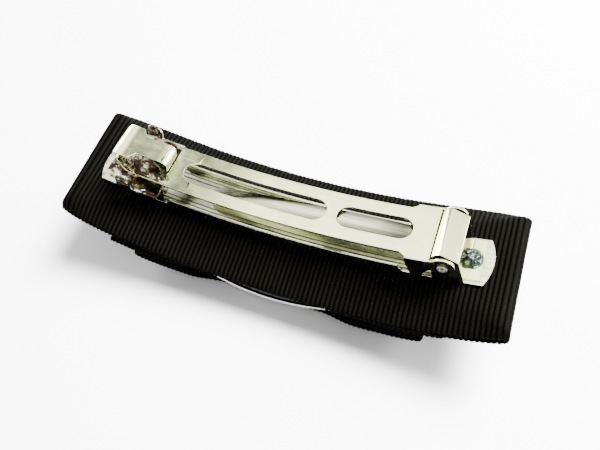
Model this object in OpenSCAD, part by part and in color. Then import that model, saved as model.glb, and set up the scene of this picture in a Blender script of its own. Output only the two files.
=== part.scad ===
/* [Ribbon bow] */
// Length of the back loop, measured along its curve
back_len = 93; // [80:1:100]
// Length of the middle loop along its curve
middle_len = 69.4; // [60:1:74]
// Length of the front loop along its curve
front_len = 60.8; // [50:1:66]
// Width of the ribbon
ribbon_w = 27; // [24:0.2:29]
// Thickness of one layer of ribbon
ribbon_t = 0.6; // [0.4:0.1:0.8]
// Height of one flattened loop
loop_h = 3.35; // [3:0.05:3.6]
// Radius of the curve that the whole bow and clip follow
bend_r = 165; // [150:5:260]

/* [Oval plate] */
// Length of the oval plate
oval_len = 54; // [48:1:58]
// Width of the oval plate
oval_w = 28.4; // [26.8:0.2:29]
// Radius of the small end arcs of the oval
oval_end_r = 12; // [11:0.5:12.5]
// Thickness of the oval plate
oval_t = 0.6; // [0.5:0.1:0.8]
// Thickness of the backing card
backing_t = 0.5; // [0.4:0.1:0.6]

/* [Clip] */
// Overall length of the base plate along its curve
clip_len = 83; // [78:1:86]
// Width of the base plate and of the arm
clip_w = 10.1; // [9:0.1:10.6]
// Thickness of the sheet metal
sheet_t = 0.5; // [0.4:0.1:0.6]
// Height of the arm's underside above the ribbon
arm_h = 7.6; // [7.2:0.1:7.9]
// Height of the side flanges of the base plate above the ribbon
flange_h = 2.8; // [2:0.1:3]
// Half of the flanged length of the base plate
flange_end = 25.5; // [24:0.5:26]
// Distance of each fixing rivet from the middle
rivet_at = 37.6; // [37:0.1:38]

/* [Hinge] */
// Distance of the hinge pin from the middle
hinge_at = 33.7; // [33:0.1:34]
// Height of the hinge pin above the ribbon
hinge_h = 7; // [6.8:0.1:7.2]
// Diameter of the hinge pin
pin_d = 1.5; // [1.2:0.1:1.6]

/* [Arm] */
// Half width of the arm's head at the hinge
head_hw = 6.1; // [6:0.1:6.3]
// Width of the long slot
long_slot_w = 5; // [4.6:0.1:5.6]
// Width of the short slot
short_slot_w = 4.8; // [4.2:0.1:5.2]
// Width of each rail beside the clasp window
rail_w = 0.75; // [0.7:0.05:0.8]
// Width of the folded tongue
tongue_w = 4.5; // [4:0.1:5]

/* [Hidden] */
$fn = 72;
arc_fn = 720;                     // fine steps for arcs of the bow's own radius
eps = 0.05;                       // parting gap between stacked layers
deg = 180 / PI;
lap = 0.03;                       // small steps that keep joined surfaces from lying in one another
half_clip = clip_w / 2;
base_low = 0.6;                   // underside of the base plate, as a height above the datum curve
base_top = base_low + 0.6;
back_top = base_low - eps;        // outer face of the back loop
back_low = back_top - loop_h - 0.3;
middle_top = back_low - eps;
middle_low = middle_top - loop_h;
backing_low = middle_low - eps - backing_t;
plate_low = backing_low - eps - oval_t;
front_top = plate_low - eps;
front_low = front_top - loop_h;
rest_flat = 0.15;                 // depth of the flat the bow rests on, at the front loop's lowest place
datum = -front_low - rest_flat;   // height of the datum curve's lowest point above the ground

// ---- places on the bow's curve: s runs along the curve, h is the height above it ----
function px(s, h) = (bend_r - h) * sin(s / bend_r * deg);
function pz(s, h) = datum + bend_r - (bend_r - h) * cos(s / bend_r * deg);

// Moves children to the place s, h on the curve and turns them with it
module at_arc(s, h = 0)
    translate([px(s, h), 0, pz(s, h)]) rotate([0, -s / bend_r * deg, 0]) children();

// Curved sheet between two heights, from s0 to s1, of the given half width
module arc_sheet(h0, h1, s0, s1, hw)
    translate([0, 0, datum + bend_r]) rotate([90, 0, 0]) rotate([0, 0, -90 + s0 / bend_r * deg])
        rotate_extrude(angle = (s1 - s0) / bend_r * deg, $fn = arc_fn)
            translate([bend_r - h1, -hw]) square([h1 - h0, 2 * hw]);

// Upright extrusion of a plan outline, tall enough to cut any sheet
module plan() translate([0, 0, -5]) linear_extrude(60) children();

// Extrusion across the clip of a side outline drawn as (x, z)
module across(y0, y1) translate([0, y1, 0]) rotate([90, 0, 0]) linear_extrude(y1 - y0) children();

// Rounded rectangle from x0 to x1, of half width hw, with corner radius r
module round_rect(x0, x1, hw, r) {
    translate([x0 + r, -hw]) square([x1 - x0 - 2 * r, 2 * hw]);
    translate([x0, -hw + r]) square([x1 - x0, 2 * hw - 2 * r]);
    for (x = [x0 + r, x1 - r], y = [-hw + r, hw - r]) translate([x, y]) circle(r);
}

// Upright cutter for a slot with round ends
module slot(x0, x1, r) {
    translate([x0 + r, -r, 0]) cube([x1 - x0 - 2 * r, 2 * r, 60]);
    for (x = [x0 + r, x1 - r]) translate([x, 0, 0]) cylinder(r = r, h = 60);
}

// ---- ribbon bow ----
// Flattened tube of the given outer heights and half length, open at both sides
module loop_solid(h0, h1, half, hw) {
    r = (h1 - h0) / 2;
    arc_sheet(h0, h1, -half + r, half - r, hw);
    for (s = [-half + r, half - r])
        at_arc(s, h0 + r) across(-hw, hw) circle(r);
}

module ribbon_loop(h0, h1, len)
    difference() {
        loop_solid(h0, h1, len / 2, ribbon_w / 2);
        loop_solid(h0 + ribbon_t, h1 - ribbon_t, len / 2 - ribbon_t, ribbon_w);
    }

// Round holes through whatever lies at both rivets
module rivet_holes(r, sides = [-1, 1])
    for (i = sides) at_arc(i * rivet_at, -2.5) cylinder(r = r, h = 6);

rivet_r = 1;
rivet_fit = 0.02;

module back_loop() color("#1b1b1f")
    difference() {
        ribbon_loop(back_low, back_top, back_len);
        rivet_holes(rivet_r + rivet_fit);
    }

module middle_loop() color("#1d1d21") ribbon_loop(middle_low, middle_top, middle_len);

module front_loop() color("#202024")
    difference() {
        ribbon_loop(front_low, front_top, front_len);
        translate([-30, -30, -2]) cube([60, 60, 2]);
    }

stiff_t = 0.7;
stiff_top = back_top - ribbon_t - eps;

module stiffener() color("#3a3a3d")
    difference() {
        intersection() {
            arc_sheet(stiff_top - stiff_t, stiff_top, -40.5, 40.5, 5);
            plan() round_rect(-40, 40, 5, 2);
        }
        rivet_holes(rivet_r + rivet_fit);
    }

// ---- oval plate between the loops ----
// Four-arc oval, whose end arcs stay a small step inside the common tangent
module oval(len, w, r) {
    c = len / 2 - r;
    b = w / 2;
    big = (c * c + b * b - r * r) / (2 * (b - r));
    meet = c * big / (big - r);
    intersection() {
        translate([0, b - big]) circle(big, $fn = 360);
        translate([0, big - b]) circle(big, $fn = 360);
        square([2 * meet, 2 * w], center = true);
    }
    for (x = [-c, c]) translate([x, 0]) circle(r - lap);
}

backing_inset = 0.7;

module oval_backing() color("#18181b")
    intersection() {
        arc_sheet(backing_low, middle_low - eps, -30, 30, 20);
        plan() oval(oval_len - 2 * backing_inset, oval_w - 2 * backing_inset, oval_end_r - backing_inset);
    }

module oval_plate() color("#d9d9dc")
    intersection() {
        arc_sheet(plate_low, backing_low - eps, -30, 30, 20);
        plan() oval(oval_len, oval_w, oval_end_r);
    }

// ---- base plate and what is fixed to it ----
tab_r = 11.2;                     // radius of the plate's rounded ends
tip_x = px(clip_len / 2, base_low);

module end_tab(side)
    intersection() {
        translate([side * (tip_x - tab_r), 0]) circle(tab_r);
        translate([side * (tip_x - 10) - 10, -half_clip]) square([20, clip_w]);
    }

flange_slant = 1.8;               // length of the slanted cut at each flange end

module base_plate() color("#cfd0c6")
    difference() {
        union() {
            intersection() {
                arc_sheet(base_low, base_top, -clip_len / 2 - 1, clip_len / 2 + 1, half_clip);
                plan() {
                    square([2 * (tip_x - 4), clip_w], center = true);
                    for (side = [-1, 1]) end_tab(side);
                }
            }
            for (y = [-half_clip, half_clip - sheet_t]) flange(y);
        }
        rivet_holes(rivet_r + rivet_fit);
    }

// Low side wall of the base plate, with slanted ends
module flange(y)
    difference() {
        translate([0, y + sheet_t / 2, 0])
            arc_sheet(base_low, flange_h, -flange_end, flange_end, sheet_t / 2);
        for (side = [-1, 1])
            at_arc(side * flange_end, base_top) mirror([side > 0 ? 0 : 1, 0, 0])
                across(-20, 20) polygon([[0, 0], [-flange_slant, 3], [3, 3], [3, 0]]);
    }

head_r = 2.15;                    // domed head of a fixing rivet
head_dome = 1.7;

// Rivet with a domed head above seat and a flat tail below
module rivet(seat) {
    tail = stiff_top - stiff_t - washer_t - eps;
    ball = (head_r * head_r + head_dome * head_dome) / (2 * head_dome);
    translate([0, 0, tail - 0.5]) cylinder(r = rivet_r, h = seat - tail + 0.6);
    translate([0, 0, tail - 0.5]) cylinder(r = 1.7, h = 0.5);
    intersection() {
        translate([0, 0, seat + head_dome - ball]) sphere(ball, $fn = 96);
        translate([0, 0, seat]) cylinder(r = head_r, h = 3);
    }
}

washer_t = 0.4;

module fixing_rivets() color("#8f989c") {
    at_arc(rivet_at) rivet(base_top + sheet_t + eps);
    at_arc(-rivet_at) rivet(base_top + foot_t + eps);
}

module rivet_washers() color("#b9b9b4")
    for (side = [-1, 1])
        at_arc(side * rivet_at, stiff_top - stiff_t - washer_t - eps / 2)
            difference() {
                cylinder(r = 2.5, h = washer_t - eps / 2);
                translate([0, 0, -1]) cylinder(r = rivet_r + rivet_fit, h = 3);
            }

// ---- hinge ----
wall_out = 5.2;                   // outer face of the bracket's side walls
roof_r = 2.5;                     // the bracket's rolled front edge, about the pin
roof_x = -0.4;                    // where the roll ends and the sloping roof begins
roof_end = 2.6;
roof_lip = 0.9;                   // height of the roof's front lip above the pin, clear of the spring bar
wall_low = base_top + 0.04;
inside_low = base_top + sheet_t + 0.1;
foot_x = 3.4;                     // rear foot of the side walls
floor_end = 6.1;

// Side outline of the bracket, in the hinge's own frame with the datum curve at 0
module bracket_side(g) {
    intersection() {
        translate([0, hinge_h]) circle(roof_r - g);
        translate([-6, 0]) square([6 + roof_x, 20]);
    }
    roof_z = hinge_h + roof_r * cos(asin(roof_x / roof_r));
    polygon([[-roof_r + g, wall_low], [foot_x, wall_low], [roof_end, hinge_h + 0.7 - g],
             [roof_x, roof_z - g], [roof_x, hinge_h], [-roof_r + g, hinge_h]]);
}

module hinge_bracket() color("#cfd0c6")
    difference() {
        union() {
            at_arc(hinge_at) across(-wall_out, wall_out) bracket_side(0);
            arc_sheet(base_top, base_top + sheet_t, hinge_at - 1.5, hinge_at + floor_end, 4.4);
        }
        at_arc(hinge_at) across(-wall_out + sheet_t, wall_out - sheet_t) {
            intersection() {
                bracket_side(sheet_t);
                translate([-6, inside_low]) square([12, 12]);
            }
            translate([-6, inside_low]) square([12, hinge_h - inside_low]);
            translate([-6, inside_low]) square([4.5, hinge_h + roof_lip - inside_low]);
        }
        at_arc(hinge_at, hinge_h) across(-20, 20) circle(pin_d / 2 + 0.01);
        rivet_holes(rivet_r + rivet_fit, [1]);
    }

pin_out = head_hw + 0.1;
pin_head_r = 0.98;

module hinge_pin() color("#a9aaa4")
    at_arc(hinge_at, hinge_h) {
        across(-pin_out - 0.1, pin_out + 0.1) circle(pin_d / 2);
        for (side = [-1, 1])
            across(side * (pin_out + 0.2) - 0.15, side * (pin_out + 0.2) + 0.15) circle(pin_head_r);
    }

// ---- arm ----
arm_top = arm_h + sheet_t;
window_in = -25.7;                // end of the clasp window nearer the middle
arm_tip = -37.9;
head_end = 31.1;

module arm_outline() {
    round_end = px(arm_tip, arm_h) + half_clip;
    translate([round_end, 0]) circle(half_clip);
    translate([round_end, -half_clip]) square([px(head_end, arm_h) - round_end, clip_w]);
    plate_hw = head_hw - 0.15;
    polygon([[px(25.2, arm_h), -half_clip], [px(26.8, arm_h), -plate_hw], [px(head_end, arm_h), -plate_hw],
             [px(head_end, arm_h), plate_hw], [px(26.8, arm_h), plate_hw], [px(25.2, arm_h), half_clip]]);
}

// Clasp window, rounded with the arm's tip
module window_outline() {
    round_end = px(arm_tip, arm_h) + half_clip;
    inner = half_clip - rail_w;
    translate([round_end, 0]) circle(inner);
    translate([round_end, -inner]) square([px(window_in, arm_h) - round_end, 2 * inner]);
}

// Side plate of the arm's head, with the hinge eye and a rounded lower lobe
module head_side() {
    lobe_x = -5.1;
    lobe_z = 3.7;
    lobe_r = 1.3;
    eye_r = 2.1;
    translate([0, hinge_h]) circle(eye_r);
    translate([lobe_x, lobe_z]) circle(lobe_r);
    polygon([[-7, arm_top], [-6.9, 6], [lobe_x - lobe_r, lobe_z], [lobe_x + lobe_r, lobe_z],
             [-2.6, hinge_h - eye_r + 0.3], [0, hinge_h - eye_r], [0, hinge_h + eye_r],
             [-1.6, arm_top + 0.25], [-3, arm_top]]);
}

fold_at = -36.05;
fold_r = 1.85;
tongue_h = arm_h + 2 * fold_r;    // top of the folded tongue
tongue_end = -27;
curl_r = 1;

// Tongue that rises from the arm's tip, folds back over the window and turns down into it
module tongue() {
    intersection() {
        at_arc(fold_at, arm_h + fold_r + lap) across(-3.8, 3.8)
            difference() {
                circle(fold_r);
                circle(fold_r - sheet_t);
                translate([0, -5]) square([10, 10]);
            }
        plan() round_rect(px(arm_tip, arm_h + fold_r) - 0.3, -20, 3.8, 2);
    }
    intersection() {
        arc_sheet(tongue_h - sheet_t + 2 * lap, tongue_h, fold_at - 0.05, tongue_end + 0.05, 3.9);
        plan() {
            polygon([[px(-40, tongue_h), -3.8], [px(-34, tongue_h), -3.8], [px(-32.8, tongue_h), -tongue_w / 2],
                     [0, -tongue_w / 2], [0, tongue_w / 2], [px(-32.8, tongue_h), tongue_w / 2],
                     [px(-34, tongue_h), 3.8], [px(-40, tongue_h), 3.8]]);
        }
    }
    at_arc(tongue_end, tongue_h - curl_r - lap) across(lap - tongue_w / 2, tongue_w / 2 - lap) {
        intersection() {
            difference() {
                circle(curl_r);
                circle(curl_r - sheet_t);
            }
            translate([-0.01, 0]) square([3, 3]);
        }
        translate([curl_r - sheet_t, -1.9]) square([sheet_t, 1.91]);
    }
}

module arm() color("#dcddd2") {
    difference() {
        intersection() {
            arc_sheet(arm_h, arm_top, -42, head_end, head_hw);
            plan() arm_outline();
        }
        slot(px(-23, arm_h), px(8.8, arm_h), long_slot_w / 2);
        slot(px(11.1, arm_h), px(26.6, arm_h), short_slot_w / 2);
        plan() window_outline();
    }
    for (side = [-1, 1])
        difference() {
            at_arc(hinge_at)
                across(side * (head_hw - sheet_t / 2) - sheet_t / 2, side * (head_hw - sheet_t / 2) + sheet_t / 2)
                    head_side();
            at_arc(hinge_at, hinge_h) across(-20, 20) circle(pin_d / 2 + 0.04);
        }
    tongue();
}

// ---- inner spring bar ----
bar_hw = 1.9;                     // at the hinge
bar_wide = 4.3;                   // in the middle
bar_t = 0.4;
bar_r = 500;                      // gentle bow of the bar
bar_len = 49.6;
bar_tilt = 5.2;                   // between the bar's chord and the curve's tangent at the hinge
eye_out = 1.35;
bar_tip_hw = 1.6;

module spring_bar() color("#c4c5bb") {
    turn = bar_len / bar_r * deg;
    difference() {
        at_arc(hinge_at, hinge_h) across(-bar_hw, bar_hw) circle(eye_out);
        at_arc(hinge_at, hinge_h) across(-20, 20) circle(pin_d / 2 + 0.05);
    }
    intersection() {
        at_arc(hinge_at, hinge_h - eye_out)
            rotate([0, bar_tilt + turn / 2, 0])
                translate([0, 0, -bar_r + bar_t]) rotate([90, 0, 0]) rotate([0, 0, 90])
                    rotate_extrude(angle = turn, $fn = 3 * arc_fn)
                        translate([bar_r - bar_t, -bar_hw]) square([bar_t, 2 * bar_hw]);
        plan() {
            polygon([[40, -bar_hw], [10, -bar_hw], [4, -bar_wide], [-8, -bar_wide], [-15.4, -bar_tip_hw],
                     [-15.4, bar_tip_hw], [-8, bar_wide], [4, bar_wide], [10, bar_hw], [40, bar_hw]]);
            translate([-15.4, 0]) circle(bar_tip_hw);
        }
    }
}

// ---- catch ----
foot_t = 0.4;
wing_at = -30.5;
wing_in = 3.15;                   // inner face of a wing's leaf
leaf_t = 0.5;
wing_root = base_top + foot_t + 0.1;
nose_low = arm_top + 0.15;
nose_out = half_clip - rail_w + 0.4;
web_h = 4.4;
pad_out = 7.1;

module catch_foot() color("#c9cac0")
    difference() {
        intersection() {
            arc_sheet(base_top, base_top + foot_t, -41, -26.6, 3.9);
            plan() round_rect(px(-40.3, 1.4), px(-26.7, 1.4), 3.9, 1.6);
        }
        rivet_holes(rivet_r + rivet_fit, [-1]);
    }

// One wing, drawn on the +Y side: leaf, hook nose, web under the rail, finger pad and lower lobe
module wing() at_arc(wing_at) {
    translate([-1.7, wing_in, wing_root]) cube([5.4, leaf_t, nose_low + sheet_t - wing_root]);
    translate([-1.7, wing_in, nose_low]) cube([5.4, nose_out - wing_in, sheet_t]);
    translate([-2.6, wing_in, web_h]) cube([6.3, pad_out - wing_in, sheet_t]);
    difference() {
        union() {
            across(pad_out - leaf_t, pad_out) {
                translate([-3.1, 7.2]) circle(1.7);
                translate([-4.8, web_h + 0.4]) square([3.4, 2.8 - 0.4]);
                translate([-3.1, web_h]) square([6.8, 1.1]);
            }
            at_ring() cylinder(r = 1.05, h = 0.2);
        }
        at_ring() translate([0, 0, -1]) cylinder(r = 0.6, h = 1.25);
    }
    across(pad_out - 1.1, pad_out - 1.1 + leaf_t) {
        translate([1.75, 4]) circle(1.6);
        translate([0.15, 4]) square([3.2, 0.8]);
    }
}

// Centre of the round dimple on a pad's outer face, looking outwards
module at_ring() translate([-3.1, pad_out, 7]) rotate([-90, 0, 0]) children();

module catch_wing_far() color("#b7b5a4") wing();

module catch_wing_near() color("#b7b5a4") mirror([0, 1, 0]) wing();

back_loop();
middle_loop();
front_loop();
stiffener();
oval_backing();
oval_plate();
base_plate();
hinge_bracket();
hinge_pin();
arm();
spring_bar();
fixing_rivets();
rivet_washers();
catch_foot();
catch_wing_near();
catch_wing_far();
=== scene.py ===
import math

import bmesh
import bpy
import numpy as np
from mathutils import Matrix, Vector


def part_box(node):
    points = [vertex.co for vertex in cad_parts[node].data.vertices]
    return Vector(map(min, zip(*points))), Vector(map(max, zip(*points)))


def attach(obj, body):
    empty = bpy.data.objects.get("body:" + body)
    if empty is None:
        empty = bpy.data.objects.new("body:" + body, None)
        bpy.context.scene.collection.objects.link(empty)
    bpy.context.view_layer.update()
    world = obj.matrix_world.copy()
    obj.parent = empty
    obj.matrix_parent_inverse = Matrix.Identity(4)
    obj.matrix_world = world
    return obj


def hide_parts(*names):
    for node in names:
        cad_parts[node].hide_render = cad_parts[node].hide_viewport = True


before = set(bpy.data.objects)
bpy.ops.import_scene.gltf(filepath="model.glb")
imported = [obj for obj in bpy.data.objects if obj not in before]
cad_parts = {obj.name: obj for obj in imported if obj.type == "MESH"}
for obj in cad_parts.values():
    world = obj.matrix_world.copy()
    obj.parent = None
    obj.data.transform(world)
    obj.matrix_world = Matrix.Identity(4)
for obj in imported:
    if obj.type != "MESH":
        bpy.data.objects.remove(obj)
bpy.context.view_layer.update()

MM = 0.001

# ---- the bow's curve: s runs along it, h is the height above it, both in metres ----
BEND_R = 165 * MM
DATUM = 10.95 * MM


def on_curve(s, y, h):
    """Point at s along the curve and h above it: x = (R - h) sin(s/R), z = datum + R - (R - h) cos(s/R)."""
    a = s / BEND_R
    r = BEND_R - h
    return np.stack([r * np.sin(a), y + 0 * a, DATUM + BEND_R - r * np.cos(a)], axis=-1)


# ---- camera and studio ----
def place_camera():
    """Camera on a line through the aim point.

    Azimuth and elevation give the line's direction, and roll turns the camera on it.
    """
    azimuth, elevation, roll = (math.radians(a) for a in (24.64, 57.0, -5.33))
    distance = 121.33 * MM
    aim = Vector((2.33 * MM, 0.60 * MM, DATUM - 0.22 * MM))
    back = Vector((math.sin(azimuth) * math.cos(elevation),
                   -math.cos(azimuth) * math.cos(elevation), math.sin(elevation)))
    level = Vector((math.cos(azimuth), math.sin(azimuth), 0))
    up = back.cross(level)
    side = math.cos(roll) * level + math.sin(roll) * up
    top = -math.sin(roll) * level + math.cos(roll) * up
    camera = bpy.data.objects.new("camera", bpy.data.cameras.new("camera"))
    camera.data.lens = 35
    camera.data.sensor_width = 36
    camera.data.clip_start = 0.005
    axes = Matrix((side, top, back)).transposed().to_4x4()
    camera.matrix_world = Matrix.Translation(aim + back * distance) @ axes
    bpy.context.scene.collection.objects.link(camera)
    bpy.context.scene.camera = camera


def area_light(name, place, size, power):
    """Rectangular lamp of size metres and power watts at place, turned towards the clip."""
    clip = Vector((0, 0, 10 * MM))
    lamp = bpy.data.lights.new(name, "AREA")
    lamp.shape = "RECTANGLE"
    lamp.size, lamp.size_y = size
    lamp.energy = power
    lit = bpy.data.objects.new(name, lamp)
    lit.location = place
    lit.rotation_euler = (clip - Vector(place)).to_track_quat("-Z", "Y").to_euler()
    bpy.context.scene.collection.objects.link(lit)
    return lit


# Room brightness over the direction's height, from straight down (0) to straight up (1).
ROOM_STOPS = [(0.0, 0.2), (0.12, 0.05), (0.40, 0.05), (0.60, 0.45), (0.78, 0.95), (1.0, 1.0)]
SOFT_FILL = 1.25          # strength of the room for plain surfaces
MIRRORED_ROOM = 4.8       # strength of the room in polished metal
MIRRORED_PANEL = 0.4      # strength of the dim panel in polished metal


def studio():
    """Room for the light: pale above, dark low down, with one dim panel that only polished metal mirrors."""
    world = bpy.data.worlds.new("studio")
    bpy.context.scene.world = world
    world.use_nodes = True
    room = world.node_tree
    direction = room.nodes.new("ShaderNodeTexCoord")
    parts = room.nodes.new("ShaderNodeSeparateXYZ")
    room.links.new(direction.outputs["Generated"], parts.inputs[0])
    height = room.nodes.new("ShaderNodeValToRGB")
    height.color_ramp.interpolation = "B_SPLINE"
    for place, bright in ROOM_STOPS:
        stop = height.color_ramp.elements.new(place)
        stop.color = (bright, bright, bright * 0.985, 1)
    height.color_ramp.elements.remove(height.color_ramp.elements[0])
    room.links.new(parts.outputs["Z"], height.inputs["Fac"])
    left_side = ramp_node(room, parts.outputs["X"], -0.238, -0.228)
    right_side = ramp_node(room, parts.outputs["X"], -0.150, -0.140, 1.0, 0.0)
    panel = math_node(room, "MULTIPLY", left_side, right_side)
    path = room.nodes.new("ShaderNodeLightPath")
    seen = mix_color(room, path.outputs["Is Camera Ray"], height.outputs["Color"], (0.8, 0.8, 0.79))
    room.links.new(seen, room.nodes["Background"].inputs["Color"])
    mirrored = ramp_node(room, panel, 0.0, 1.0, MIRRORED_ROOM, MIRRORED_PANEL)
    strength = ramp_node(room, path.outputs["Is Glossy Ray"], 0.0, 1.0, SOFT_FILL, mirrored)
    room.links.new(strength, room.nodes["Background"].inputs["Strength"])
    area_light("overhead", (0.16, 0.22, 0.42), (0.24, 0.24), 32.0).visible_glossy = False
    area_light("right_strip", (0.44, 0.30, 0.22), (0.12, 0.30), 4.5)
    area_light("left_strip", (-0.46, 0.28, 0.16), (0.12, 0.30), 4.0)
    build_floor()


def build_floor():
    """Square sheet of pale matt paper, 3 m wide."""
    mesh = bpy.data.meshes.new("floor")
    half = 1.5
    corners = [(-half, -half, 0), (half, -half, 0), (half, half, 0), (-half, half, 0)]
    mesh.from_pydata(corners, [], [(0, 1, 2, 3)])
    floor = bpy.data.objects.new("floor", mesh)
    bpy.context.scene.collection.objects.link(floor)
    paper = bpy.data.materials.new("pale_floor")
    paper.use_nodes = True
    shader = paper.node_tree.nodes["Principled BSDF"]
    shader.inputs["Base Color"].default_value = (0.93, 0.93, 0.93, 1)
    shader.inputs["Roughness"].default_value = 0.9
    shader.inputs["Specular IOR Level"].default_value = 0.1
    mesh.materials.append(paper)


# ---- shader helpers ----
def group(name, inputs, outputs):
    """Empty node group with its sockets, given as (name, kind, default) and (name, kind)."""
    tree = bpy.data.node_groups.new(name, "ShaderNodeTree")
    for label, kind, default in inputs:
        socket = tree.interface.new_socket(name=label, in_out="INPUT", socket_type=kind)
        if default is not None:
            socket.default_value = default
    for label, kind in outputs:
        tree.interface.new_socket(name=label, in_out="OUTPUT", socket_type=kind)
    return tree, tree.nodes.new("NodeGroupInput"), tree.nodes.new("NodeGroupOutput")


def math_node(tree, how, first, second=0.5, clamp=False):
    """Math node; each input is a number or a socket."""
    node = tree.nodes.new("ShaderNodeMath")
    node.operation = how
    node.use_clamp = clamp
    for slot, value in ((0, first), (1, second)):
        if isinstance(value, (int, float)):
            node.inputs[slot].default_value = value
        else:
            tree.links.new(value, node.inputs[slot])
    return node.outputs[0]


def noise_node(tree, vector, scale, detail=2.0, roughness=0.5):
    """Noise value at vector; the scale is a number or a socket."""
    node = tree.nodes.new("ShaderNodeTexNoise")
    node.inputs["Detail"].default_value = detail
    node.inputs["Roughness"].default_value = roughness
    if isinstance(scale, (int, float)):
        node.inputs["Scale"].default_value = scale
    else:
        tree.links.new(scale, node.inputs["Scale"])
    tree.links.new(vector, node.inputs["Vector"])
    return node.outputs["Fac"]


def ramp_node(tree, value, low, high, to_low=0.0, to_high=1.0):
    """Straight ramp from to_low at low to to_high at high, level outside."""
    node = tree.nodes.new("ShaderNodeMapRange")
    node.clamp = True
    for label, number in (("From Min", low), ("From Max", high), ("To Min", to_low), ("To Max", to_high)):
        if isinstance(number, (int, float)):
            node.inputs[label].default_value = number
        else:
            tree.links.new(number, node.inputs[label])
    tree.links.new(value, node.inputs["Value"])
    return node.outputs["Result"]


def mix_color(tree, fac, first, second):
    """Colour between first (fac 0) and second (fac 1), each a tuple or a socket."""
    node = tree.nodes.new("ShaderNodeMix")
    node.data_type = "RGBA"
    for slot, value in ((0, fac), (6, first), (7, second)):
        if isinstance(value, (int, float)):
            node.inputs[slot].default_value = value
        elif isinstance(value, tuple):
            node.inputs[slot].default_value = value if len(value) == 4 else (*value, 1)
        else:
            tree.links.new(value, node.inputs[slot])
    return node.outputs[2]


def split(tree, source="Object"):
    """X, Y and Z sockets of a texture coordinate."""
    parts = tree.nodes.new("ShaderNodeSeparateXYZ")
    tree.links.new(tree.nodes.new("ShaderNodeTexCoord").outputs[source], parts.inputs[0])
    return parts.outputs["X"], parts.outputs["Y"], parts.outputs["Z"]


def stretched(tree, scale):
    """Object coordinates scaled on each axis."""
    mapping = tree.nodes.new("ShaderNodeMapping")
    mapping.inputs["Scale"].default_value = scale
    tree.links.new(tree.nodes.new("ShaderNodeTexCoord").outputs["Object"], mapping.inputs["Vector"])
    return mapping.outputs["Vector"]


def build_handling_marks():
    """Fine scuffs and smudges of handled plating, as a roughness, a dulling mask and a small height."""
    tree, into, out = group("handling_marks",
                            [("Base Roughness", "NodeSocketFloat", 0.1), ("Amount", "NodeSocketFloat", 0.5),
                             ("Scuff Scale", "NodeSocketFloat", 900.0)],
                            [("Roughness", "NodeSocketFloat"), ("Mask", "NodeSocketFloat"),
                             ("Height", "NodeSocketFloat")])
    coords = tree.nodes.new("ShaderNodeTexCoord")
    scuffs = noise_node(tree, stretched(tree, (0.12, 1.0, 1.0)), into.outputs["Scuff Scale"], 4.0, 0.6)
    smudge = noise_node(tree, coords.outputs["Object"], 260.0, 3.0)
    lines = ramp_node(tree, scuffs, 0.56, 0.72)
    cloud = ramp_node(tree, smudge, 0.35, 0.75)
    marks = math_node(tree, "ADD", math_node(tree, "MULTIPLY", lines, 0.5),
                      math_node(tree, "MULTIPLY", cloud, 0.5))
    marks = math_node(tree, "MULTIPLY", marks, into.outputs["Amount"])
    rough = math_node(tree, "ADD", into.outputs["Base Roughness"], math_node(tree, "MULTIPLY", marks, 0.3))
    tree.links.new(rough, out.inputs["Roughness"])
    tree.links.new(marks, out.inputs["Mask"])
    tree.links.new(scuffs, out.inputs["Height"])
    return tree


def build_ribbon_threads_and_highlight():
    """Warp threads that cross the ribs, as a shade and a height; the shade is a painted highlight, lighter on
    the rib crests and raised threads.

    Both come from the ribbon's own UV, with u along it and v across it, in mm.
    """
    tree, into, out = group("ribbon_threads_and_highlight",
                            [("Dark", "NodeSocketColor", (0.01, 0.01, 0.01, 1)),
                             ("Light", "NodeSocketColor", (0.03, 0.03, 0.03, 1)),
                             ("Rib Pitch", "NodeSocketFloat", 0.93),
                             ("Thread Pitch", "NodeSocketFloat", 0.3)],
                            [("Color", "NodeSocketColor"), ("Height", "NodeSocketFloat"),
                             ("Roughness", "NodeSocketFloat")])
    coords = tree.nodes.new("ShaderNodeUVMap")
    coords.uv_map = "cloth"
    parts = tree.nodes.new("ShaderNodeSeparateXYZ")
    tree.links.new(coords.outputs["UV"], parts.inputs[0])
    along, across = parts.outputs["X"], parts.outputs["Y"]
    turn = 2 * math.pi
    rib = math_node(tree, "MULTIPLY", math_node(tree, "DIVIDE", along, into.outputs["Rib Pitch"]), turn)
    rib = math_node(tree, "COSINE", rib)
    rib = ramp_node(tree, rib, 1.0, -0.6)
    thread = math_node(tree, "DIVIDE", across, into.outputs["Thread Pitch"])
    thread = math_node(tree, "MULTIPLY", thread, turn)
    thread = math_node(tree, "SINE", math_node(tree, "ADD", thread, math_node(tree, "MULTIPLY", along, 0.35)))
    thread = ramp_node(tree, thread, -1.0, 1.0)
    fuzz = noise_node(tree, coords.outputs["UV"], 3.2, 4.0, 0.7)
    patch = noise_node(tree, coords.outputs["UV"], 0.12, 2.0)
    light = math_node(tree, "MULTIPLY", rib, ramp_node(tree, thread, 0.0, 1.0, 0.45, 1.0))
    light = math_node(tree, "MULTIPLY", light, ramp_node(tree, fuzz, 0.2, 0.8, 0.5, 1.2))
    light = math_node(tree, "MULTIPLY", light, ramp_node(tree, patch, 0.2, 0.8, 0.75, 1.1), clamp=True)
    # painted highlight: the lighter colour goes on the rib crests and raised threads
    color = mix_color(tree, light, into.outputs["Dark"], into.outputs["Light"])
    tree.links.new(color, out.inputs["Color"])
    height = math_node(tree, "ADD", math_node(tree, "MULTIPLY", thread, 0.7),
                       math_node(tree, "MULTIPLY", fuzz, 0.5))
    tree.links.new(height, out.inputs["Height"])
    tree.links.new(ramp_node(tree, fuzz, 0.2, 0.8, 0.62, 0.85), out.inputs["Roughness"])
    return tree


def new_material(name):
    """Empty material, its node tree and its shader."""
    material = bpy.data.materials.new(name)
    material.use_nodes = True
    tree = material.node_tree
    return material, tree, tree.nodes["Principled BSDF"]


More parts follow.
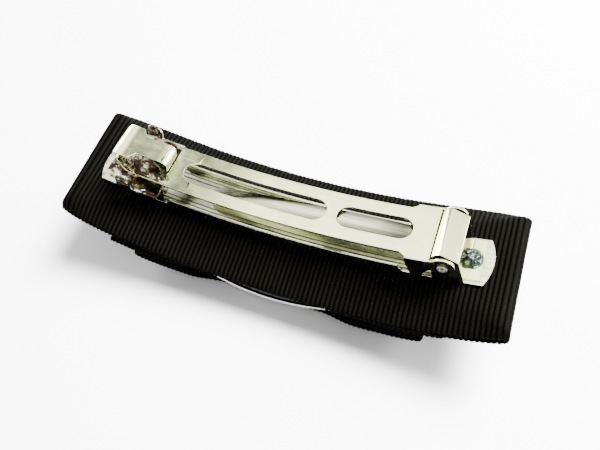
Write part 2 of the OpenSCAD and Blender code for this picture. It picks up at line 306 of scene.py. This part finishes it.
def use_group(tree, shared, **values):
    """Shared node group placed in a material, with its own values."""
    node = tree.nodes.new("ShaderNodeGroup")
    node.node_tree = shared
    for label, value in values.items():
        node.inputs[label.replace("_", " ")].default_value = value
    return node


def add_bump(tree, shader, height, strength, distance):
    """Fine relief of a height socket, distance metres deep at full height."""
    bump = tree.nodes.new("ShaderNodeBump")
    bump.inputs["Strength"].default_value = strength
    bump.inputs["Distance"].default_value = distance
    tree.links.new(height, bump.inputs["Height"])
    tree.links.new(bump.outputs["Normal"], shader.inputs["Normal"])


SCUFF_DEPTH = 0.05 * MM
HANDLING = build_handling_marks()
THREADS_AND_HIGHLIGHT = build_ribbon_threads_and_highlight()


def plating(name, bright, dull, roughness, wall_shade=0.0, drawn_and_mirrored=0.0, edge_shade=0.0, shade_lines=()):
    """Plated metal with scuffs: bright where clean, dull where marked.

    drawn_and_mirrored gives fine dark lines along the clip, drawn lines mixed with painted reflection
    streaks. shade_lines gives dark lines of painted shade along the pressed bends between the end tabs, as
    their distances off the middle line. edge_shade darkens the long edges of a narrow bar with painted shade,
    from 0.2 to 1.6 mm off its middle line. wall_shade darkens the upright edge walls with painted shade, and
    paints the underside a darker neutral grey, also as painted shade.
    """
    material, tree, shader = new_material(name)
    marks = use_group(tree, HANDLING, Base_Roughness=roughness, Amount=0.5)
    shader.inputs["Metallic"].default_value = 1.0
    color = mix_color(tree, marks.outputs["Mask"], bright, dull)
    x, y, _ = split(tree)
    off_end, off_middle = math_node(tree, "ABSOLUTE", x), math_node(tree, "ABSOLUTE", y)
    if drawn_and_mirrored:
        # painted reflection: dark streaks along the clip stand for mirrored dark surroundings, mixed with
        # fine drawn lines
        streaks = noise_node(tree, stretched(tree, (0.012, 1.0, 0.1)), 1900.0)
        color = mix_color(tree, ramp_node(tree, streaks, 0.42, 0.54, drawn_and_mirrored, 0.0), color, (0.12, 0.12, 0.08))
    if shade_lines:
        # painted shade: dark lines along the channel's pressed bends, where shade falls
        between_tabs = ramp_node(tree, off_end, 30.5 * MM, 32 * MM, 0.9, 0.0)
    for place in shade_lines:
        apart = math_node(tree, "ABSOLUTE", math_node(tree, "SUBTRACT", off_middle, place))
        line = ramp_node(tree, apart, 0.09 * MM, 0.2 * MM, 1.0, 0.0)
        line = math_node(tree, "MULTIPLY", line, between_tabs)
        color = mix_color(tree, line, color, (0.04, 0.04, 0.028))
    if edge_shade:
        # painted shade: the bar's long edges darken away from its middle line
        edge = ramp_node(tree, off_middle, 0.2 * MM, 1.6 * MM, 0.0, edge_shade)
        color = mix_color(tree, edge, color, (0.09, 0.095, 0.06))
    if wall_shade:
        # painted shade: faces pointing down are a darker grey, and upright edge walls are near black
        up = split(tree, "Normal")[2]
        color = mix_color(tree, ramp_node(tree, up, -0.5, -0.2, 1.0, 0.0), color, (0.55, 0.55, 0.49))
        upright = ramp_node(tree, math_node(tree, "ABSOLUTE", up), 0.15, 0.4, wall_shade, 0.0)
        color = mix_color(tree, upright, color, (0.05, 0.045, 0.035))
    tree.links.new(color, shader.inputs["Base Color"])
    tree.links.new(marks.outputs["Roughness"], shader.inputs["Roughness"])
    add_bump(tree, shader, marks.outputs["Height"], 0.04, SCUFF_DEPTH)
    return material


def hammered_zinc(name):
    """Zinc domes with star-shaped dents and patches, from cell edges and noise.

    The dome in the catch, on the -X side, is painted dark brown as shade under the catch's tongue.
    """
    material, tree, shader = new_material(name)
    coords = tree.nodes.new("ShaderNodeTexCoord")
    cells = tree.nodes.new("ShaderNodeTexVoronoi")
    cells.feature = "DISTANCE_TO_EDGE"
    cells.inputs["Scale"].default_value = 850.0
    tree.links.new(coords.outputs["Object"], cells.inputs["Vector"])
    dents = ramp_node(tree, cells.outputs["Distance"], 0.02, 0.2)
    patch = ramp_node(tree, noise_node(tree, coords.outputs["Object"], 1300.0, 3.0), 0.4, 0.62)
    color = mix_color(tree, patch, (0.07, 0.11, 0.105), (0.74, 0.8, 0.76))
    color = mix_color(tree, dents, (0.03, 0.05, 0.045), color)
    # painted shade: the dome on the -X side, under the catch, is dark brown
    catch_shade = mix_color(tree, patch, (0.02, 0.012, 0.008), (0.2, 0.15, 0.09))
    color = mix_color(tree, ramp_node(tree, split(tree)[0], -1 * MM, 1 * MM), catch_shade, color)
    shader.inputs["Metallic"].default_value = 1.0
    tree.links.new(color, shader.inputs["Base Color"])
    tree.links.new(ramp_node(tree, patch, 0.0, 1.0, 0.32, 0.16), shader.inputs["Roughness"])
    relief = math_node(tree, "ADD", dents, math_node(tree, "MULTIPLY", patch, 0.6))
    add_bump(tree, shader, relief, 1.0, 0.4 * MM)
    return material


def pin_steel(name):
    """Peened pin ends: a raised ring from 0.44 to 0.82 mm about the hinge axis, painted bright as a
    highlight, with near-black painted shade on both sides of it.
    """
    material, tree, shader = new_material(name)
    coords = tree.nodes.new("ShaderNodeTexCoord")
    low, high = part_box("hinge_pin")
    pivot = (np.array(low) + np.array(high)) / 2
    centred = tree.nodes.new("ShaderNodeMapping")
    centred.inputs["Location"].default_value = (-pivot[0], 0, -pivot[2])
    centred.inputs["Scale"].default_value = (1, 0, 1)
    tree.links.new(coords.outputs["Object"], centred.inputs["Vector"])
    length = tree.nodes.new("ShaderNodeVectorMath")
    length.operation = "LENGTH"
    tree.links.new(centred.outputs["Vector"], length.inputs[0])
    inner = ramp_node(tree, length.outputs["Value"], 0.40 * MM, 0.48 * MM)
    outer = ramp_node(tree, length.outputs["Value"], 0.78 * MM, 0.86 * MM, 1.0, 0.0)
    ring = math_node(tree, "MULTIPLY", inner, outer)
    shader.inputs["Metallic"].default_value = 1.0
    # painted highlight on the ring, painted shade on the rest of the pin
    color = mix_color(tree, ring, (0.03, 0.028, 0.022), (0.7, 0.7, 0.56))
    tree.links.new(color, shader.inputs["Base Color"])
    tree.links.new(ramp_node(tree, ring, 0.0, 1.0, 0.4, 0.2), shader.inputs["Roughness"])
    add_bump(tree, shader, ring, 0.6, 0.1 * MM)
    return material


def tarnished(name):
    """Catch metal gone brown in places: bright plating under patches of dark brown."""
    material, tree, shader = new_material(name)
    marks = use_group(tree, HANDLING, Base_Roughness=0.14, Amount=0.6)
    coords = tree.nodes.new("ShaderNodeTexCoord")
    patch = ramp_node(tree, noise_node(tree, coords.outputs["Object"], 520.0, 4.0, 0.65), 0.38, 0.52)
    shader.inputs["Metallic"].default_value = 1.0
    color = mix_color(tree, patch, (0.66, 0.64, 0.47), (0.03, 0.018, 0.01))
    tree.links.new(color, shader.inputs["Base Color"])
    tree.links.new(marks.outputs["Roughness"], shader.inputs["Roughness"])
    add_bump(tree, shader, marks.outputs["Height"], 0.08, SCUFF_DEPTH)
    return material


def grosgrain(name, dark, light):
    """Black ribbed ribbon: the ribs are in the mesh, the threads and the painted highlight on the rib crests
    in this material.
    """
    material, tree, shader = new_material(name)
    threads = use_group(tree, THREADS_AND_HIGHLIGHT, Dark=dark, Light=light)
    tree.links.new(threads.outputs["Color"], shader.inputs["Base Color"])
    tree.links.new(threads.outputs["Roughness"], shader.inputs["Roughness"])
    shader.inputs["Specular IOR Level"].default_value = 0.008
    shader.inputs["Sheen Weight"].default_value = 0.001
    shader.inputs["Sheen Roughness"].default_value = 0.5
    add_bump(tree, shader, threads.outputs["Height"], 0.6, 0.06 * MM)
    return material


def polished_rim(name):
    """Bright rounded rim of a thin plate whose upward face is near-black painted shade, from the ribbon above
    it.
    """
    material, tree, shader = new_material(name)
    marks = use_group(tree, HANDLING, Base_Roughness=0.18, Amount=0.3)
    # painted shade: faces of the plate that point up, under the ribbon, are near-black
    shaded_face = ramp_node(tree, split(tree, "Normal")[2], 0.86, 0.97)
    color = mix_color(tree, shaded_face, (0.95, 0.95, 0.94), (0.004, 0.004, 0.004))
    shader.inputs["Metallic"].default_value = 0.35
    tree.links.new(color, shader.inputs["Base Color"])
    tree.links.new(marks.outputs["Roughness"], shader.inputs["Roughness"])
    add_bump(tree, shader, marks.outputs["Height"], 0.04, SCUFF_DEPTH)
    return material


def card_black():
    """Matt black card with a fine fibre grain."""
    material, tree, shader = new_material("black_card")
    coords = tree.nodes.new("ShaderNodeTexCoord")
    fibre = noise_node(tree, coords.outputs["Object"], 2600.0, 4.0, 0.7)
    color = mix_color(tree, fibre, (0.006, 0.006, 0.007), (0.02, 0.02, 0.021))
    tree.links.new(color, shader.inputs["Base Color"])
    tree.links.new(ramp_node(tree, fibre, 0.2, 0.8, 0.7, 0.9), shader.inputs["Roughness"])
    add_bump(tree, shader, fibre, 0.4, 0.05 * MM)
    return material


# ---- grosgrain loops ----
RIB_PITCH = 0.93 * MM
SAMPLES_PER_RIB = 8
ROWS_ACROSS = 23
RIBBON_HALF_T = 0.2 * MM
RIB_RISE = 0.16 * MM
SELVEDGE = 0.22 * MM          # how far each rib stands out past the ribbon's edge
CLOTH_HALF_MM = 13.5          # half the ribbon's width in its UV map
FLOOR_GAP = 0.02 * MM


def soft_ramp(x, soft=0.12):
    """0 below 0 and a straight rise to 1 at x = 1, with a rounded start: (x + sqrt(x^2 + k^2)), scaled."""
    return (x + np.sqrt(x * x + soft * soft)) / (1 + math.sqrt(1 + soft * soft))


def ribbon_loop(name, node, half_len, top, low, half_w, shape, skew, askew):
    """Closed flattened band of ribbed ribbon.

    t is the arc length round the stadium of half length L and fold radius r = (top - low) / 2, and v runs
    across. Middle surface: s and q from the stadium, h = mid(s, y) + q * half(s, y), with q = 1 on top, -1
    below and cos(angle) in the folds. Both faces lie at +-(T + A |sin(pi t / pitch)|^0.7) along the band's
    normal. Each end is cut at a slant, s (1 + k y / L (s / L)^4), with k a tenth as large at the hinge end,
    and the catch end lies askew by y - a (s / L)^2.
    """
    r = (top - low) / 2
    run = 2 * (half_len - r)
    around = 2 * run + 2 * math.pi * r
    ribs = int(round(around / RIB_PITCH))
    count = ribs * SAMPLES_PER_RIB
    t = np.arange(count) * around / count
    v = np.sin(np.linspace(-math.pi / 2, math.pi / 2, ROWS_ACROSS))
    tt, vv = np.meshgrid(t, v, indexing="ij")
    on_top = tt < run
    first_fold = (tt >= run) & (tt < run + math.pi * r)
    below = (tt >= run + math.pi * r) & (tt < 2 * run + math.pi * r)
    turn = np.where(first_fold, (tt - run) / r, np.where(tt >= 2 * run + math.pi * r,
                    math.pi + (tt - 2 * run - math.pi * r) / r, np.where(on_top, 0.0, math.pi)))
    s = np.where(on_top, -run / 2 + tt,
                 np.where(first_fold, run / 2 + r * np.sin(turn),
                          np.where(below, run / 2 - (tt - run - math.pi * r), -run / 2 + r * np.sin(turn))))
    q = np.cos(turn)
    rib = np.abs(np.sin(math.pi * ribs * tt / around)) ** 0.7

    def surface(side):
        """Face at side * half thickness; the edge rows close in to a rounded selvedge."""
        edge = np.clip((1 - np.abs(vv)) / 0.02, 0.25, 1)
        half_t = (RIBBON_HALF_T + RIB_RISE * rib) * edge
        width = half_w(s)
        y = vv * (width + SELVEDGE * rib)
        upper = shape(s, y, width, 1)
        lower = shape(s, y, width, -1)
        mid, half = (upper + lower) / 2, (upper - lower) / 2
        h = mid + q * (half - RIBBON_HALF_T) + side * half_t * q
        along = s + side * half_t * np.sin(turn)
        slant = np.where(s < 0, skew, 0.1 * skew)
        along = along * (1 + slant * y / half_len * np.abs(s / half_len) ** 4)
        y = y - askew * np.where(s < 0, (s / half_len) ** 2, 0)
        points = on_curve(along, y, h)
        points[..., 2] = np.maximum(points[..., 2], FLOOR_GAP)
        return points

    outer, inner = surface(1), surface(-1)
    points = np.concatenate([outer.reshape(-1, 3), inner.reshape(-1, 3)])
    index = np.arange(count * ROWS_ACROSS).reshape(count, ROWS_ACROSS)
    after = np.roll(index, -1, axis=0)
    shift = count * ROWS_ACROSS
    a, b, c, d = index[:, :-1], after[:, :-1], after[:, 1:], index[:, 1:]
    faces = [np.stack([a, b, c, d], -1).reshape(-1, 4), np.stack([d, c, b, a], -1).reshape(-1, 4) + shift]
    near, near_next = index[:, 0], after[:, 0]
    faces.append(np.stack([near, near + shift, near_next + shift, near_next], -1))
    far, far_next = index[:, -1], after[:, -1]
    faces.append(np.stack([far, far_next, far_next + shift, far + shift], -1))
    faces = np.concatenate(faces)
    mesh = bpy.data.meshes.new(name)
    mesh.from_pydata(points.tolist(), [], faces.tolist())
    uv = mesh.uv_layers.new(name="cloth")
    along_mm = np.concatenate([tt, tt], axis=0).reshape(-1) / MM
    across_mm = np.concatenate([vv, vv], axis=0).reshape(-1) * CLOTH_HALF_MM
    corners = faces.reshape(-1)
    place = np.stack([along_mm[corners], across_mm[corners]], -1)
    wrapped = place.reshape(-1, 4, 2)
    high = wrapped[:, :, 0].max(axis=1, keepdims=True) > 0.9 * around / MM
    wrapped[:, :, 0] = np.where(high & (wrapped[:, :, 0] < 0.1 * around / MM),
                                wrapped[:, :, 0] + around / MM, wrapped[:, :, 0])
    uv.data.foreach_set("uv", wrapped.reshape(-1))
    mesh.shade_smooth()
    loop = bpy.data.objects.new(name, mesh)
    bpy.context.scene.collection.objects.link(loop)
    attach(loop, "clip_base")
    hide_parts(node)
    return loop


def swell(s, start, end):
    """Smooth step 3x^2 - 2x^3 of |s| from start to end mm."""
    x = np.clip((np.abs(s) / MM - start) / (end - start), 0, 1)
    return x * x * (3 - 2 * x)


def back_half_width(s):
    """14.5 - 1.5 (|s| / 46)^6 mm."""
    return (14.5 - 1.5 * (np.abs(s) / (46 * MM)) ** 6) * MM


def back_shape(s, y, width, side):
    """Height of the back loop's faces, above (side 1) or below (side -1).

    The top is level from the middle out to a crease, then falls to the edge by 3.05 - 1.5 (|s| / 46.5)^3 mm.
    The crease runs along the clip's edge at 5.4 mm, and from |s| = 26 mm on out to the corners. The tips dip
    by 0.2 mm.
    """
    out = np.abs(s) / MM
    across = np.abs(y) / MM
    crease = 5.4 + 7.3 * np.clip((out - 26) / 20.5, 0, 1) ** 1.15
    tip_dip = 0.2 * np.clip((out - 40) / 6.5, 0, 1) ** 1.5
    fall = 3.05 - 1.5 * np.clip(out / 46.5, 0, 1) ** 3
    wide = width / MM
    top = 0.5 - tip_dip - fall * soft_ramp((across - crease) / (wide - crease))
    low = -3.1 - tip_dip - 0.55 * soft_ramp((across - 6) / (wide - 6))
    return (top if side > 0 else low) * MM


def lower_shape(top, low, top_fall, low_fall, start=5.0):
    """Faces of a lower loop: level out to start, then a straight fall towards each edge, all in mm."""
    def height(s, y, width, side):
        """top - top_fall * ramp above, low - low_fall * ramp below, the same all along s."""
        across = np.abs(y) / MM
        ramp = soft_ramp((across - start) / (width / MM - start))
        return (top - top_fall * ramp if side > 0 else low - low_fall * ramp) * MM
    return height


END_SLANT = 0.06              # k in the slant of a loop's ends


def middle_half_width(s):
    """13.7 mm, 0.5 wider beyond the swell at 14 to 24 mm, 0.4 narrower again from 28 mm to the fold."""
    return (13.7 + 0.5 * swell(s, 14, 24) - 0.4 * swell(s, 28, 34.7)) * MM


def front_half_width(s):
    """12.2 mm, 1.1 wider beyond the swell at 10 to 18 mm, 0.2 narrower again from 25 mm to the fold."""
    return (12.2 + 1.1 * swell(s, 10, 18) - 0.2 * swell(s, 25, 30.4)) * MM


def build_ribbons():
    """Three loops: half length, top and low height and askew in mm, then width, shape and strip in metres."""
    # the second colour is the painted highlight on the rib crests
    black = grosgrain("black_grosgrain", (0.00003, 0.00003, 0.00003, 1), (0.0048, 0.0048, 0.0036, 1))
    rows = [
        ("grosgrain_back", "back_loop", "stiffener", (46.0, 0.5, -3.1, 0.0),
         back_half_width, back_shape, 0.190),
        ("grosgrain_middle", "middle_loop", "back_loop", (34.7, -3.15, -6.5, 0.8),
         middle_half_width, lower_shape(-3.75, -6.5, 0.75, -1.05), 0.142),
        ("grosgrain_front", "front_loop", "oval_plate", (30.4, -7.75, -11.1, 0.5),
         front_half_width, lower_shape(-7.75, -11.1, 0.9, -0.3), 0.125),
    ]
    for name, node, support, sizes, half_w, shape, strip in rows:
        half_len, top, low, askew = (size * MM for size in sizes)
        loop = ribbon_loop(name, node, half_len, top, low, half_w, shape, END_SLANT, askew)
        loop.data.materials.append(black)


# ---- plated clip ----
EDGE = 0.05 * MM              # rounding of a cut edge
SAME_PLACE = 0.002 * MM       # corners closer than this are one corner
FLAT_ANGLE = 0.2              # degrees between faces that count as one face
ROUND_FROM = 32               # degrees from which an edge is rounded


def finished_copy(node, name, body, slot, material, edge=EDGE, segments=1, same=SAME_PLACE, flat=FLAT_ANGLE):
    """Copy of a CAD node with merged corners, a small rounded edge and its own finish."""
    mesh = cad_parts[node].data.copy()
    piece = bpy.data.objects.new(name, mesh)
    bpy.context.scene.collection.objects.link(piece)
    work = bmesh.new()
    work.from_mesh(mesh)
    bmesh.ops.remove_doubles(work, verts=work.verts, dist=same)
    bmesh.ops.dissolve_degenerate(work, dist=0.01 * MM, edges=work.edges)
    bmesh.ops.dissolve_limit(work, angle_limit=math.radians(flat), verts=work.verts, edges=work.edges)
    work.to_mesh(mesh)
    work.free()
    mesh.materials.clear()
    mesh.materials.append(material)
    for polygon in mesh.polygons:
        polygon.material_index = 0
    mesh.shade_smooth()
    rounded = piece.modifiers.new("rounded_edges", "BEVEL")
    rounded.width = edge
    rounded.segments = segments
    rounded.limit_method = "ANGLE"
    rounded.angle_limit = math.radians(ROUND_FROM)
    rounded.use_clamp_overlap = False
    weighted = piece.modifiers.new("weighted_normals", "WEIGHTED_NORMAL")
    weighted.mode = "FACE_AREA"
    weighted.weight = 50
    weighted.keep_sharp = True
    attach(piece, body)
    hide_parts(node)


def build_clip():
    """Every metal and card piece.

    The arm is one long curved sheet, so its corners and faces are merged over a wider gap and angle.
    """
    tint, worn = (0.88, 0.925, 0.51, 1), (0.62, 0.64, 0.32, 1)
    nickel = plating("bright_nickel", tint, worn, 0.08)
    # the arm's finish carries painted shade on its upright edge walls and underside
    pressed = plating("pressed_nickel", tint, worn, 0.08, wall_shade=0.85)
    # the channel's finish carries painted reflection streaks and painted shade lines
    channel = plating("channel_nickel", (0.84, 0.87, 0.62, 1), (0.55, 0.56, 0.36, 1), 0.09,
                      drawn_and_mirrored=0.3, shade_lines=(2.65 * MM, 3.5 * MM, 4.3 * MM))
    # painted shade: the spring bar under the arm gets a darker tint, dimmed long edges and dark walls, with
    # painted reflection streaks
    spring = plating("spring_nickel", (0.66, 0.68, 0.5, 1), (0.4, 0.4, 0.28, 1), 0.12,
                     wall_shade=0.85, drawn_and_mirrored=0.6, edge_shade=0.9)
    zinc = hammered_zinc("zinc_rivet")
    brown = tarnished("tarnished_catch")
    card = card_black()
    rows = [
        ("base_plate", "channel_base", "clip_base", "plated_steel", channel, {}),
        ("hinge_bracket", "folded_bracket", "clip_base", "plated_steel", nickel, {}),
        ("hinge_pin", "pin", "clip_base", "pin_steel", pin_steel("satin_pin"), {}),
        ("arm", "slotted_arm", "arm", "plated_steel", pressed, {"same": 0.04 * MM, "flat": 0.4}),
        ("spring_bar", "bowed_spring", "spring_bar", "spring_steel", spring, {}),
        ("fixing_rivets", "domed_rivets", "clip_base", "rivet_metal", zinc, {}),
        ("rivet_washers", "washers", "clip_base", "rivet_metal", zinc, {}),
        ("catch_foot", "catch_plate", "clip_base", "plated_steel", brown, {}),
        ("catch_wing_near", "near_wing", "wing_near", "spring_steel", brown, {}),
        ("catch_wing_far", "far_wing", "wing_far", "spring_steel", brown, {}),
        ("oval_plate", "bright_oval", "clip_base", "polished_plate", polished_rim("polished_oval"),
         {"edge": 0.22 * MM, "segments": 3}),
        ("oval_backing", "card_oval", "clip_base", "backing", card, {}),
        ("stiffener", "stiff_strip", "clip_base", "stiffener", card, {}),
    ]
    for node, name, body, slot, material, special in rows:
        finished_copy(node, name, body, slot, material, **special)


place_camera()
studio()
build_ribbons()
build_clip()
